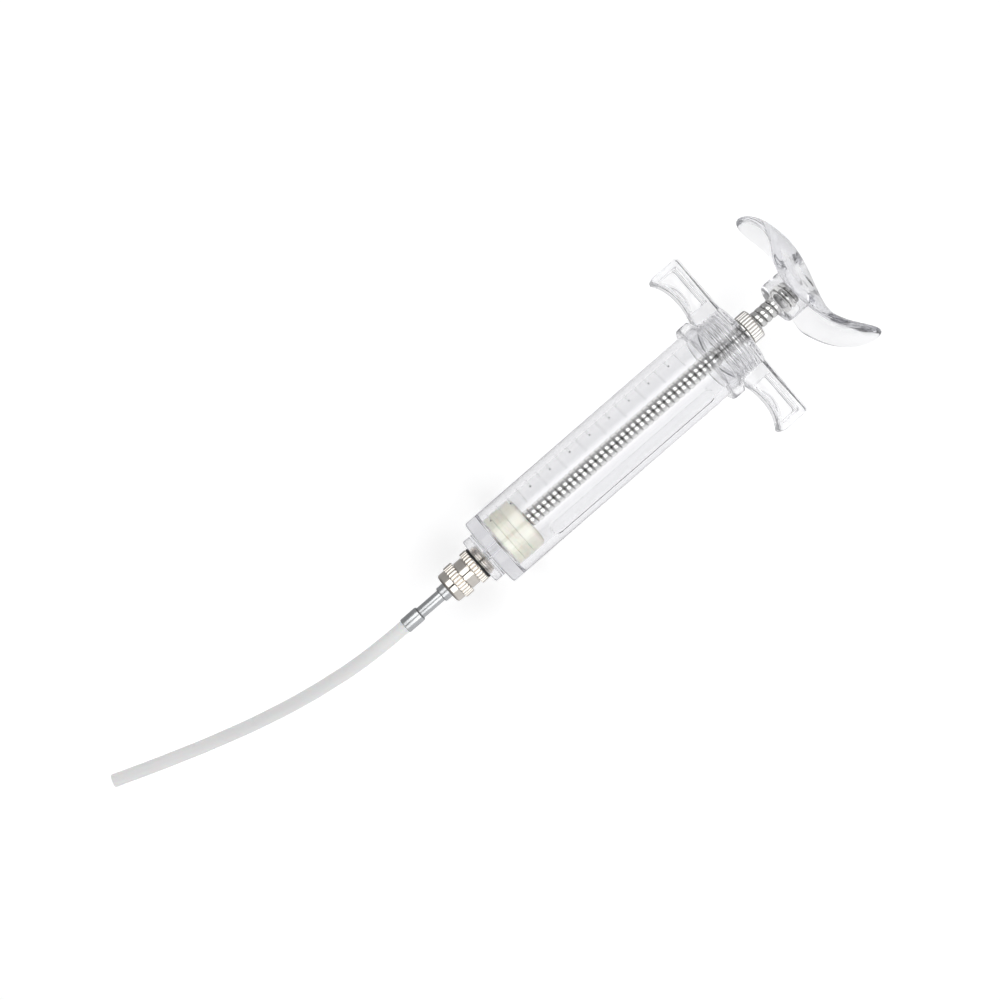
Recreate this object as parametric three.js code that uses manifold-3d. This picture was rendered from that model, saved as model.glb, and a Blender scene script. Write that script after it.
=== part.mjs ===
// Adjustable 20 ml dosing syringe with a soft drench tube.
//
// Every piece lies on one axis, along X. Stations along it are millimetres from the barrel's
// front face, towards the handle. The finished group stands on z = 0 with its origin under
// the middle of the syringe, tube left out.

import * as THREE from 'three';
import { mergeVertices } from 'three/addons/utils/BufferGeometryUtils.js';
import Module from 'manifold-3d';

const wasm = await Module();
wasm.setup();

// ---------- driving dimensions, millimetres ----------

const GAP = 0.3;
const ROUND = 48;
const SMALL_ROUND = 32;

// Barrel
const BORE_R = 9.0;
const BARREL_R = 11.5;
const FRONT_WALL = 4.0;
const SHOULDER_X = 91.1;
const THREADED_END_R = 10.05;
const BARREL_END_X = 99.4;
const NOSE_R = 7.85;
const NOSE_X = -4.0;
const NOSE_SOCKET_R = 5.3;
const NOSE_SOCKET_X = -1.2;
const PASSAGE_R = 1.1;

// Screw cap with its two finger wings
const COLLAR_R = 13.7;
const COLLAR_X = 86.9;
const COLLAR_LENGTH = 4.6;
const CAP_R = 11.6;
const CAP_REAR_X = 101.5;
const CAP_FLOOR_X = BARREL_END_X + GAP;
const CAP_DOME_X = 102.1;
const CAP_DOME_R = 6.4;
const WING_TIP_Y = 30.6;
const WING_TIP_X = 91.0;
const WING_ROOT_X = 91.6;
const WING_CURVE_X = 96.3;
const WING_DEPTH = 10.4;
const WING_WEB = 2.0;
const WING_RIM = 1.9;

// Plunger rod, and the thread's outer radius
const ROD_R = 2.95;
const ROD_BORE_R = ROD_R + GAP;
const ROD_TIP_R = 2.4;
const ROD_TIP_X = 7.3;
const ROD_STEP_X = 12.6;
const ROD_END_X = 122.0;

// Piston
const PISTON_R = 8.7;
const SEAL_R = 8.82;
const PISTON_FRONT_X = 4.9;
const SEAL_FRONT_X = 7.6;
const SEAL_LENGTH = 3.0;
const PISTON_END_X = 15.2;
const SPIGOT_R = 4.0;

// Dose nut and its washer
const NUT_R = 5.05;
const WASHER_X = 102.4;
const WASHER_THICK = 0.6;
const NUT_X = WASHER_X + WASHER_THICK + GAP;
const NUT_END_X = 107.1;
const NUT_TEETH = 32;

// Handle: a hub and an S-shaped palm plate
const HUB_R = 6.9;
const HUB_X = 115.0;
const HUB_ROUND = 1.8;
const PALM_X = 128.3;
const PALM_THICK = 3.0;
const PALM_HALF_LENGTH = 29.6;
const PALM_MIDDLE_R = 17.8;
const PALM_TIP_R = 9.1;
const PALM_ODD_SLOPE = 10.7;
const PALM_ODD_CURL = 14.8;
const PALM_EVEN_SLOPE = 5.9;
const PALM_EVEN_CURL = 6.5;
const PALM_SIDE_DROP = 6.1;
const PALM_TIP_FLATNESS = 4.9;
const PALM_LENGTH_UNIT = 30.5;
const PALM_SIDE_UNIT = 15.25;
const HANDLE_TURN = THREE.MathUtils.degToRad(26);

// Metal nose fittings, from the barrel forwards
const GASKET_THICK = 0.45;
const GASKET_R = 5.5;
const KNURL_R = 5.7;
const KNURL_TEETH = 28;
const HEX_R = 5.1;
const SHANK_R = 5.0;
const ADAPTOR_KNURL_X = NOSE_X - 2 * GAP - GASKET_THICK;
const ADAPTOR_KNURL_LENGTH = 2.3;
const ADAPTOR_HEX_X = -10.5;
const ADAPTOR_HEX_LENGTH = 2.9;
const ADAPTOR_THREAD_R = 3.8;
const ADAPTOR_THREAD_X = -13.3;
const LUER_COLLAR_X = -16.8;
const LUER_KNURL_X = -13.9;
const LUER_COLLAR_END_X = ADAPTOR_HEX_X - GAP;
const LUER_BORE_R = 4.15;
const LUER_LIP_R = 2.85;
const LUER_LIP = 1.0;
const LUER_SEAL_THICK = 0.7;

// Cannula and the soft tube
const HUB_FLANGE_R = 3.75;
const HUB_FLANGE_LENGTH = 0.9;
const CANNULA_HUB_R = 2.5;
const CANNULA_HUB_X = -19.5;
const STEM_R = 1.9;
const STEM_X = -27.7;
const FERRULE_R = 2.45;
const FERRULE_X = -33.5;
const TUBE_R = 2.15;

// ---------- solids ----------

// Turns a profile of [station, radius] points about the X axis.
function revolve(profile, segments = ROUND) {
  const points = profile.map(([x, r]) => new THREE.Vector2(r, x));
  return new THREE.LatheGeometry(points, segments).rotateZ(-Math.PI / 2);
}

// A ring: its outer profile, then back along a plain bore.
function ring(outer, bore, segments = ROUND) {
  const first = outer[0];
  const last = outer[outer.length - 1];
  return revolve([...outer, [last[0], bore], [first[0], bore], first], segments);
}

// A plain round bar between two stations.
function bar(radius, x0, x1, segments = ROUND) {
  return revolve([[x0, 0], [x0, radius], [x1, radius], [x1, 0]], segments);
}

// A bar whose section is a polygon, drawn in Y and Z.
function prism(corners, x0, x1) {
  const options = { depth: x1 - x0, bevelEnabled: false };
  const geometry = new THREE.ExtrudeGeometry(new THREE.Shape(corners), options);
  return geometry.rotateY(Math.PI / 2).translate(x0, 0, 0);
}

// Points of a knurled section: every other one lies in a groove.
function knurlCorners(radius, teeth, depth) {
  return Array.from({ length: 2 * teeth }, (_, i) => {
    const r = i % 2 ? radius - depth : radius;
    const angle = Math.PI * i / teeth;
    return new THREE.Vector2(r * Math.cos(angle), r * Math.sin(angle));
  });
}

// Points of a hexagon with a corner at the top.
function hexCorners(radius) {
  return Array.from({ length: 6 }, (_, i) => {
    const angle = Math.PI * (2 * i + 1) / 6;
    return new THREE.Vector2(radius * Math.cos(angle), radius * Math.sin(angle));
  });
}

function toSolid(geometry) {
  geometry.deleteAttribute('normal');
  geometry.deleteAttribute('uv');
  const merged = mergeVertices(geometry, 1e-4);
  const index = merged.index.array;
  const triangles = [];
  for (let i = 0; i < index.length; i += 3) {
    const [a, b, c] = index.slice(i, i + 3);
    if (a !== b && b !== c && c !== a) triangles.push(a, b, c);
  }
  return new wasm.Manifold(new wasm.Mesh({
    numProp: 3,
    vertProperties: new Float32Array(merged.attributes.position.array),
    triVerts: new Uint32Array(triangles),
  }));
}

function toGeometry(solid) {
  const mesh = solid.getMesh();
  const geometry = new THREE.BufferGeometry();
  geometry.setAttribute('position', new THREE.BufferAttribute(mesh.vertProperties, 3));
  geometry.setIndex(new THREE.BufferAttribute(mesh.triVerts, 1));
  geometry.computeVertexNormals();
  return geometry;
}

// Joins some geometries, then cuts others away.
function build(joined, cut = []) {
  let solid = joined.map(toSolid).reduce((a, b) => a.add(b));
  for (const tool of cut) solid = solid.subtract(toSolid(tool));
  return toGeometry(solid);
}

// ---------- materials ----------

const finish = {
  clear: { color: 0xe6e8ee, roughness: 0.08, metalness: 0, transparent: true, opacity: 0.35 },
  cream: { color: 0xe4e4cf, roughness: 0.4, metalness: 0 },
  silicone: { color: 0xdfe0cc, roughness: 0.6, metalness: 0 },
  chrome: { color: 0xc8c8c6, roughness: 0.18, metalness: 1 },
  nickel: { color: 0xc9c2b4, roughness: 0.24, metalness: 1 },
  steel: { color: 0xb4b6b8, roughness: 0.3, metalness: 1 },
  rubber: { color: 0x1c1c1e, roughness: 0.7, metalness: 0 },
  tube: { color: 0xeceeee, roughness: 0.3, metalness: 0, transparent: true, opacity: 0.7 },
};

const syringe = new THREE.Group();

function place(name, look, geometry) {
  const mesh = new THREE.Mesh(geometry, new THREE.MeshStandardMaterial(finish[look]));
  mesh.name = name;
  syringe.add(mesh);
  return mesh;
}

// ---------- barrel ----------

const BARREL_CHAMFER = 0.6;
const NOSE_ROOT = 0.7;

place('barrel', 'clear', revolve([
  [NOSE_X, NOSE_SOCKET_R],
  [NOSE_X, NOSE_R - NOSE_ROOT],
  [NOSE_X + NOSE_ROOT, NOSE_R],
  [0, NOSE_R],
  [0, BARREL_R - BARREL_CHAMFER],
  [BARREL_CHAMFER, BARREL_R],
  [SHOULDER_X, BARREL_R],
  [SHOULDER_X, THREADED_END_R],
  [BARREL_END_X, THREADED_END_R],
  [BARREL_END_X, BORE_R],
  [FRONT_WALL, BORE_R],
  [FRONT_WALL, PASSAGE_R],
  [NOSE_SOCKET_X, PASSAGE_R],
  [NOSE_SOCKET_X, NOSE_SOCKET_R],
  [NOSE_X, NOSE_SOCKET_R],
]));

// ---------- cap with finger wings ----------

// One wing's outline, inset all round by a rim.
function wingShape(side, rim, rootY) {
  const tipY = WING_TIP_Y - rim;
  const rearX = CAP_REAR_X - rim;
  const corner = 1.0;
  const shape = new THREE.Shape();
  shape.moveTo(rearX, side * rootY);
  shape.lineTo(rearX, side * (tipY - corner));
  shape.quadraticCurveTo(rearX, side * tipY, rearX - corner, side * tipY);
  shape.lineTo(WING_TIP_X + rim + corner, side * tipY);
  shape.quadraticCurveTo(WING_TIP_X + rim, side * tipY, WING_TIP_X + rim, side * (tipY - corner));
  shape.quadraticCurveTo(WING_CURVE_X + rim, side * (COLLAR_R + tipY) / 2,
    WING_ROOT_X + rim, side * rootY);
  return shape;
}

function slab(shape, z0, z1) {
  const options = { depth: z1 - z0, bevelEnabled: false, curveSegments: 8 };
  return new THREE.ExtrudeGeometry(shape, options).translate(0, 0, z0);
}

const CAP_EDGE = 1.0;
const WING_INNER_Y = 9.0;
const POCKET_ROOT_Y = 14.2;

const capBody = revolve([
  [COLLAR_X, 0],
  [COLLAR_X, COLLAR_R - CAP_EDGE],
  [COLLAR_X + CAP_EDGE, COLLAR_R],
  [COLLAR_X + COLLAR_LENGTH, COLLAR_R],
  [COLLAR_X + COLLAR_LENGTH, CAP_R],
  [CAP_REAR_X, CAP_R],
  [CAP_REAR_X, CAP_DOME_R],
  [CAP_DOME_X, CAP_DOME_R - CAP_EDGE],
  [CAP_DOME_X, 0],
]);
const capCavity = revolve([
  [COLLAR_X - 1, 0],
  [COLLAR_X - 1, BARREL_R + GAP],
  [SHOULDER_X + GAP, BARREL_R + GAP],
  [SHOULDER_X + GAP, THREADED_END_R + GAP],
  [CAP_FLOOR_X, THREADED_END_R + GAP],
  [CAP_FLOOR_X, 0],
]);
const rodHole = bar(ROD_BORE_R, CAP_FLOOR_X - 1, CAP_DOME_X + 1);
const wings = [];
const pockets = [];
for (const side of [1, -1]) {
  const half = WING_DEPTH / 2;
  const web = WING_WEB / 2;
  const pocket = wingShape(side, WING_RIM, POCKET_ROOT_Y);
  wings.push(slab(wingShape(side, 0, WING_INNER_Y), -half, half));
  pockets.push(slab(pocket, web, half + 1));
  pockets.push(slab(pocket, -half - 1, -web));
}
place('cap_grip', 'clear', build([capBody, ...wings], [capCavity, rodHole, ...pockets]));

// ---------- plunger rod, piston ----------

const ROD_CHAMFER = 0.5;

place('plunger_rod', 'chrome', revolve([
  [ROD_TIP_X, 0],
  [ROD_TIP_X, ROD_TIP_R],
  [ROD_STEP_X, ROD_TIP_R],
  [ROD_STEP_X + ROD_CHAMFER, ROD_R],
  [ROD_END_X - ROD_CHAMFER, ROD_R],
  [ROD_END_X, ROD_R - ROD_CHAMFER],
  [ROD_END_X, 0],
], SMALL_ROUND));

const SEAL_END_X = SEAL_FRONT_X + SEAL_LENGTH;
const SPIGOT_END_X = 12.0;
const PISTON_EDGE = 0.5;
const REAR_EDGE = 1.4;

place('piston_front', 'cream', revolve([
  [PISTON_FRONT_X, 0],
  [PISTON_FRONT_X, PISTON_R - PISTON_EDGE],
  [PISTON_FRONT_X + PISTON_EDGE, PISTON_R],
  [SEAL_FRONT_X - GAP, PISTON_R],
  [SEAL_FRONT_X - GAP, SPIGOT_R],
  [SPIGOT_END_X, SPIGOT_R],
  [SPIGOT_END_X, ROD_TIP_R + GAP],
  [ROD_TIP_X - GAP, ROD_TIP_R + GAP],
  [ROD_TIP_X - GAP, 0],
]));
place('piston_seal', 'silicone', ring([
  [SEAL_FRONT_X, SEAL_R],
  [SEAL_END_X, SEAL_R],
], SPIGOT_R + GAP));
place('piston_rear', 'cream', revolve([
  [SEAL_END_X + GAP, SPIGOT_R + GAP],
  [SEAL_END_X + GAP, PISTON_R],
  [PISTON_END_X - REAR_EDGE, PISTON_R],
  [PISTON_END_X, PISTON_R - REAR_EDGE],
  [PISTON_END_X, ROD_BORE_R],
  [SPIGOT_END_X + GAP, ROD_BORE_R],
  [SPIGOT_END_X + GAP, SPIGOT_R + GAP],
  [SEAL_END_X + GAP, SPIGOT_R + GAP],
]));

// ---------- dose nut ----------

const NUT_CHAMFER = 0.5;
const NUT_GROOVE = 0.45;

place('dose_washer', 'nickel', ring([
  [WASHER_X, NUT_R],
  [WASHER_X + WASHER_THICK, NUT_R],
], ROD_BORE_R, SMALL_ROUND));

const nutBlank = toSolid(revolve([
  [NUT_X, 0],
  [NUT_X, NUT_R],
  [NUT_END_X - NUT_CHAMFER, NUT_R],
  [NUT_END_X, NUT_R - NUT_CHAMFER],
  [NUT_END_X, 0],
], 2 * NUT_TEETH));
const nutTeeth = toSolid(prism(knurlCorners(NUT_R, NUT_TEETH, NUT_GROOVE), NUT_X, NUT_END_X));
const nutBore = toSolid(bar(ROD_BORE_R, NUT_X - 1, NUT_END_X + 1, SMALL_ROUND));
place('dose_nut', 'nickel', toGeometry(nutBlank.intersect(nutTeeth).subtract(nutBore)));

// ---------- handle ----------

// The plate's outline: a middle disc and two tip discs inside one taut band.
function palmOutline(points) {
  const reach = PALM_HALF_LENGTH - PALM_TIP_R;
  const tilt = Math.PI / 2 - Math.asin((PALM_MIDDLE_R - PALM_TIP_R) / reach);
  const path = new THREE.Path();
  path.absarc(reach, 0, PALM_TIP_R, -tilt, tilt);
  path.absarc(0, 0, PALM_MIDDLE_R, tilt, Math.PI - tilt);
  path.absarc(-reach, 0, PALM_TIP_R, Math.PI - tilt, Math.PI + tilt);
  path.absarc(0, 0, PALM_MIDDLE_R, Math.PI + tilt, 2 * Math.PI - tilt);
  path.closePath();
  return path.getSpacedPoints(points).slice(0, points);
}

// Station of the plate's middle surface: an S along Y, falling away at both sides, less so at
// the tips.
function palmStation(y, z) {
  const n = -y / PALM_LENGTH_UNIT;
  const m = z / PALM_SIDE_UNIT;
  const odd = PALM_ODD_CURL * n ** 3 - PALM_ODD_SLOPE * n;
  const even = PALM_EVEN_CURL * n ** 4 - PALM_EVEN_SLOPE * n ** 2;
  const drop = PALM_SIDE_DROP * m ** 2 - PALM_TIP_FLATNESS * n ** 2 * m ** 2;
  return PALM_X + odd + even - drop;
}

// A closed solid over the outline. lower and upper give its two faces, as distances from the
// middle surface at a share of the way out to the rim.
const PALM_POINTS = 44;
const PALM_SHARES = [0.25, 0.5, 0.72, 0.88, 0.94, 0.98, 1];

function palmSolid(lower, upper) {
  const outline = palmOutline(PALM_POINTS);
  const positions = [];
  const faces = [];
  const sides = [lower, upper];
  for (const offset of sides) {
    positions.push(palmStation(0, 0) + offset(0), 0, 0);
    for (const share of PALM_SHARES) {
      for (const point of outline) {
        const y = share * point.x;
        const z = share * point.y;
        positions.push(palmStation(y, z) + offset(share), y, z);
      }
    }
  }
  const rings = PALM_SHARES.length;
  const sideSize = 1 + rings * PALM_POINTS;
  const at = (side, r, j) => side * sideSize + 1 + r * PALM_POINTS + j % PALM_POINTS;
  const add = (side, a, b, c) => (side ? faces.push(a, b, c) : faces.push(a, c, b));
  for (const side of [0, 1]) {
    for (let j = 0; j < PALM_POINTS; j++) {
      add(side, side * sideSize, at(side, 0, j), at(side, 0, j + 1));
      for (let r = 0; r < rings - 1; r++) {
        add(side, at(side, r, j), at(side, r + 1, j), at(side, r + 1, j + 1));
        add(side, at(side, r, j), at(side, r + 1, j + 1), at(side, r, j + 1));
      }
    }
  }
  for (let j = 0; j < PALM_POINTS; j++) {
    const last = rings - 1;
    faces.push(at(0, last, j), at(0, last, j + 1), at(1, last, j + 1));
    faces.push(at(0, last, j), at(1, last, j + 1), at(1, last, j));
  }
  const geometry = new THREE.BufferGeometry();
  geometry.setAttribute('position', new THREE.Float32BufferAttribute(positions, 3));
  geometry.setIndex(faces);
  return toSolid(geometry);
}

const RIM_SHARE = 0.9;

function halfThickness(share) {
  const out = Math.max(0, (share - RIM_SHARE) / (1 - RIM_SHARE));
  return PALM_THICK / 2 * Math.sqrt(Math.max(0, 1 - out ** 2));
}

const palm = palmSolid((share) => -halfThickness(share), halfThickness);
const behindPalm = palmSolid(() => 0, () => HUB_R * 2);
const hub = toSolid(revolve([
  [HUB_X, 0],
  [HUB_X, HUB_R - HUB_ROUND],
  [HUB_X + 0.3 * HUB_ROUND, HUB_R - 0.3 * HUB_ROUND],
  [HUB_X + HUB_ROUND, HUB_R],
  [PALM_X + HUB_R, HUB_R],
  [PALM_X + HUB_R, 0],
], SMALL_ROUND));
const hubBore = toSolid(bar(ROD_BORE_R, HUB_X - 1, ROD_END_X + GAP, SMALL_ROUND));
const handleSolid = hub.subtract(behindPalm).add(palm).subtract(hubBore);
place('handle', 'clear', toGeometry(handleSolid)).rotation.x = -HANDLE_TURN;

// ---------- metal nose fittings ----------

const gasketX = NOSE_X - GAP - GASKET_THICK;
place('nose_gasket', 'rubber', ring([
  [gasketX, GASKET_R],
  [gasketX + GASKET_THICK, GASKET_R],
], SHANK_R + 0.2, SMALL_ROUND));

const KNURL_GROOVE = 0.5;
const SHANK_END_X = NOSE_SOCKET_X - GAP;
const THREAD_CORE_R = 4.6;

function knurledBand(x0, x1) {
  return prism(knurlCorners(KNURL_R, KNURL_TEETH, KNURL_GROOVE), x0, x1);
}

place('nose_adaptor', 'nickel', build([
  knurledBand(ADAPTOR_KNURL_X - ADAPTOR_KNURL_LENGTH, ADAPTOR_KNURL_X),
  prism(hexCorners(HEX_R), ADAPTOR_HEX_X, ADAPTOR_HEX_X + ADAPTOR_HEX_LENGTH),
  bar(THREAD_CORE_R, ADAPTOR_HEX_X + 1, ADAPTOR_KNURL_X - 1, SMALL_ROUND),
  bar(SHANK_R - GAP, ADAPTOR_KNURL_X - 1, SHANK_END_X, SMALL_ROUND),
  bar(ADAPTOR_THREAD_R, ADAPTOR_THREAD_X, ADAPTOR_HEX_X + 1, SMALL_ROUND),
], [
  bar(PASSAGE_R, ADAPTOR_THREAD_X - 1, SHANK_END_X + 1, SMALL_ROUND),
]));

const COLLAR_CHAMFER = 0.6;
place('luer_collar', 'nickel', build([
  knurledBand(LUER_KNURL_X, LUER_COLLAR_END_X),
  revolve([
    [LUER_COLLAR_X, 0],
    [LUER_COLLAR_X, HEX_R - COLLAR_CHAMFER],
    [LUER_COLLAR_X + COLLAR_CHAMFER, HEX_R],
    [LUER_KNURL_X + 1, HEX_R],
    [LUER_KNURL_X + 1, 0],
  ], SMALL_ROUND),
], [
  bar(LUER_LIP_R, LUER_COLLAR_X - 1, LUER_KNURL_X, SMALL_ROUND),
  bar(LUER_BORE_R, LUER_COLLAR_X + LUER_LIP, LUER_COLLAR_END_X + 1, SMALL_ROUND),
]));

const luerSealX = ADAPTOR_THREAD_X - GAP - LUER_SEAL_THICK;
place('luer_seal', 'rubber', ring([
  [luerSealX, HUB_FLANGE_R],
  [luerSealX + LUER_SEAL_THICK, HUB_FLANGE_R],
], PASSAGE_R, SMALL_ROUND));

// ---------- cannula ----------

const flangeX = luerSealX - GAP - HUB_FLANGE_LENGTH;
place('cannula_hub', 'steel', ring([
  [CANNULA_HUB_X, CANNULA_HUB_R],
  [flangeX, CANNULA_HUB_R],
  [flangeX, HUB_FLANGE_R],
  [flangeX + HUB_FLANGE_LENGTH, HUB_FLANGE_R],
], PASSAGE_R, SMALL_ROUND));
place('cannula_stem', 'steel', ring([
  [STEM_X, STEM_R],
  [CANNULA_HUB_X - GAP, STEM_R],
], PASSAGE_R, SMALL_ROUND));
place('crimp_ferrule', 'steel', ring([
  [FERRULE_X, FERRULE_R],
  [STEM_X - GAP, FERRULE_R],
], PASSAGE_R, SMALL_ROUND));

// ---------- soft tube ----------

// Where the tube's centre line runs: station, side and height above the syringe's axis. It
// leaves the ferrule straight, sinks to the table and bends gently to one side.
const TUBE_ROUTE = [
  [-33.8, 0.0, 0.0],
  [-38.0, 0.05, 0.0],
  [-42.5, 0.15, 0.0],
  [-47.0, 0.35, -0.2],
  [-52.0, 0.7, -0.9],
  [-57.0, 1.2, -1.9],
  [-62.0, 1.9, -3.2],
  [-67.5, 2.7, -4.8],
  [-73.0, 3.7, -6.6],
  [-79.0, 4.9, -8.7],
  [-85.0, 6.3, -10.7],
  [-91.0, 7.8, -12.4],
  [-97.0, 9.5, -13.9],
  [-103.0, 11.3, -15.1],
  [-109.0, 13.2, -15.7],
  [-115.0, 15.3, -15.88],
  [-121.0, 17.4, -15.9],
  [-127.0, 19.6, -15.9],
  [-132.0, 21.5, -15.9],
  [-136.3, 23.1, -15.9],
];
const TUBE_HALF_SIDES = 5;
const TUBE_STEPS = 40;

const route = new THREE.CatmullRomCurve3(TUBE_ROUTE.map((p) => new THREE.Vector3(...p)));
const section = new THREE.Shape();
section.absarc(0, 0, TUBE_R, 0, 2 * Math.PI);
const tube = new THREE.ExtrudeGeometry(section, {
  steps: TUBE_STEPS,
  curveSegments: TUBE_HALF_SIDES,
  extrudePath: route,
});

// ---------- placing ----------

// The origin goes under the middle of everything but the free tube.
const box = new THREE.Box3().setFromObject(syringe, true);
const centre = box.getCenter(new THREE.Vector3());
place('drench_tube', 'tube', tube);
syringe.position.set(-centre.x, -centre.y, -box.min.z);

export default new THREE.Group().add(syringe);
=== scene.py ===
"""Looks of the adjustable dosing syringe: clear mouldings, threaded rod, metal nose and soft tube.

Shapes are worked out in millimetres: x is the station along the syringe's axis from the barrel's
front face, y and z are measured from the axis. place() turns them into the frame's metres.
"""

import math

import bmesh
import bpy
import numpy as np
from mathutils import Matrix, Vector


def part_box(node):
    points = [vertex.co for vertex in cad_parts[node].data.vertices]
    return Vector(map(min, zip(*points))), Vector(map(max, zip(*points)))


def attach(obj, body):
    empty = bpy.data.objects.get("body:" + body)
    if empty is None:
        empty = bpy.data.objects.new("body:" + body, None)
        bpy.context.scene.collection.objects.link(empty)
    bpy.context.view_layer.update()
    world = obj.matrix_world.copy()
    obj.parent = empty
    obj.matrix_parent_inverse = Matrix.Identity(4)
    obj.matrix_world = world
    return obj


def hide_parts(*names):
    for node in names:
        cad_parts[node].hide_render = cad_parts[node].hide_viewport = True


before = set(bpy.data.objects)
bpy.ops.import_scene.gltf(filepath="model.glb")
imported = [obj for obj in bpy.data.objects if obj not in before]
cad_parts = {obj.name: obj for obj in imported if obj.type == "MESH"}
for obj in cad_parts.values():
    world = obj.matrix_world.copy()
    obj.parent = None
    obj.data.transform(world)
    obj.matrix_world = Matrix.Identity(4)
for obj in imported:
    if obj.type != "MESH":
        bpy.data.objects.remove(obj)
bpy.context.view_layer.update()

MM = 0.001
TAU = 2 * math.pi

# ---------- the frame's own places ----------

# The nose neck stands this many millimetres in front of the barrel's front face.
NECK = 4.0
BARREL_LOW, BARREL_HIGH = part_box("barrel")
FRONT = BARREL_LOW.x + NECK * MM
AXIS_Z = (BARREL_LOW.z + BARREL_HIGH.z) / 2

# ---------- sizes shared by several pieces, millimetres ----------

BORE_R = 9.0
BARREL_R = 11.5
SHOULDER_X = 91.1
BARREL_END_X = 99.4
ROD_R = 2.95
ROD_PITCH = 2.1
CAP_REAR_X = 101.5
KNURL_R = 5.7
KNURL_TEETH = 28
TOOTH_FULLNESS = 0.9
KNURL_DEPTH = 0.5
HEX_R = 5.1
HEX_CROWN = 0.5
HEX_CORNER_CUT = 0.08
HANDLE_TURN = math.radians(-26)


# ---------- mesh helpers ----------

def place(points):
    """Millimetres round the axis to metres in the frame."""
    points = np.asarray(points, float)
    return points * MM + np.array([FRONT, 0, AXIS_Z])


def mesh_object(name, points, faces, sharp=32):
    """A mesh object from points in millimetres, smooth but for edges sharper than an angle."""
    mesh = bpy.data.meshes.new(name)
    mesh.from_pydata([tuple(p) for p in place(points)], [], faces)
    obj = bpy.data.objects.new(name, mesh)
    bpy.context.scene.collection.objects.link(obj)
    tidy_mesh(obj, sharp)
    return obj


def tidy_mesh(obj, sharp=32):
    """Merges doubled points, turns faces outwards and sets the shading."""
    work = bmesh.new()
    work.from_mesh(obj.data)
    bmesh.ops.remove_doubles(work, verts=work.verts, dist=1e-7)
    bmesh.ops.recalc_face_normals(work, faces=work.faces)
    work.to_mesh(obj.data)
    work.free()
    obj.data.shade_smooth()
    obj.data.set_sharp_from_angle(angle=math.radians(sharp))


def rounded(corners, steps=5):
    """A profile through [x, r, fillet] corners, each fillet a short curve."""
    corners = [(c[0], c[1], c[2] if len(c) > 2 else 0.0) for c in corners]
    closed = corners[0][:2] == corners[-1][:2]
    body = corners[:-1] if closed else corners
    count = len(body)
    result = []
    for i, (x, r, fillet) in enumerate(body):
        here = np.array([x, r])
        ends = not closed and i in (0, count - 1)
        if fillet == 0 or ends:
            result.append(here)
            continue
        before = np.array(body[i - 1][:2]) - here
        after = np.array(body[(i + 1) % count][:2]) - here
        reach_before = min(fillet, 0.5 * np.linalg.norm(before))
        reach_after = min(fillet, 0.5 * np.linalg.norm(after))
        start = here + before / np.linalg.norm(before) * reach_before
        end = here + after / np.linalg.norm(after) * reach_after
        for s in np.linspace(0, 1, steps):
            result.append((1 - s) ** 2 * start + 2 * s * (1 - s) * here + s ** 2 * end)
    if closed:
        result.append(result[0])
    return result


def refined(profile, low, high, step):
    """The profile with more points on its long runs between two stations."""
    result = [profile[0]]
    for a, b in zip(profile[:-1], profile[1:]):
        inside = min(a[0], b[0]) >= low - 1e-6 and max(a[0], b[0]) <= high + 1e-6
        parts = max(1, math.ceil(abs(b[0] - a[0]) / step)) if inside else 1
        for k in range(1, parts + 1):
            result.append(a + (b - a) * k / parts)
    return result


def lathe(name, profile, segments=96, shape=None, angles=None, sharp=32):
    """Turns a profile about the axis. shape(x, r, angle) may change the radius."""
    if angles is None:
        angles = np.arange(segments) * TAU / segments
    points = []
    rows = []
    for x, r in profile:
        if r < 1e-6:
            rows.append([len(points)])
            points.append((x, 0, 0))
            continue
        radius = np.full(len(angles), r) if shape is None else shape(x, r, angles)
        rows.append(list(range(len(points), len(points) + len(angles))))
        ring = np.stack([np.full(len(angles), x), radius * np.cos(angles), radius * np.sin(angles)], 1)
        points.extend(ring)
    faces = []
    count = len(angles)
    for a, b in zip(rows[:-1], rows[1:]):
        for j in range(count):
            k = (j + 1) % count
            if len(a) == 1 and len(b) == 1:
                continue
            if len(a) == 1:
                faces.append((a[0], b[k], b[j]))
            elif len(b) == 1:
                faces.append((a[j], a[k], b[0]))
            else:
                faces.append((a[j], a[k], b[k], b[j]))
    return mesh_object(name, points, faces, sharp)


def offset_outline(points, distance):
    """The closed outline moved outwards by a distance along its normals."""
    ahead = np.roll(points, -1, 0) - np.roll(points, 1, 0)
    normal = np.stack([ahead[:, 1], -ahead[:, 0]], 1)
    normal /= np.linalg.norm(normal, axis=1)[:, None]
    area = np.sum(points[:, 0] * np.roll(points[:, 1], -1) - np.roll(points[:, 0], -1) * points[:, 1])
    return points + normal * distance * np.sign(area)


def slab(name, outline, z0, z1, edge, steps=4):
    """A plate over an outline in x and y, its edges rounded."""
    outline = np.asarray(outline, float)
    layers = []
    for s in np.linspace(0, math.pi / 2, steps):
        layers.append((z0 + edge * (1 - math.sin(s)), -edge * (1 - math.cos(s))))
    layers = layers[::-1]
    layers += [(z0 + z1 - z, inset) for z, inset in layers[::-1]]
    layers.sort(key=lambda layer: layer[0])
    points = []
    for z, inset in layers:
        ring = offset_outline(outline, inset)
        points.extend(np.column_stack([ring, np.full(len(ring), z)]))
    count = len(outline)
    faces = [tuple(range(count)), tuple(range(count * (len(layers) - 1), count * len(layers)))]
    for i in range(len(layers) - 1):
        for j in range(count):
            k = (j + 1) % count
            faces.append((i * count + j, i * count + k, (i + 1) * count + k, (i + 1) * count + j))
    return mesh_object(name, points, faces)


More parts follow.
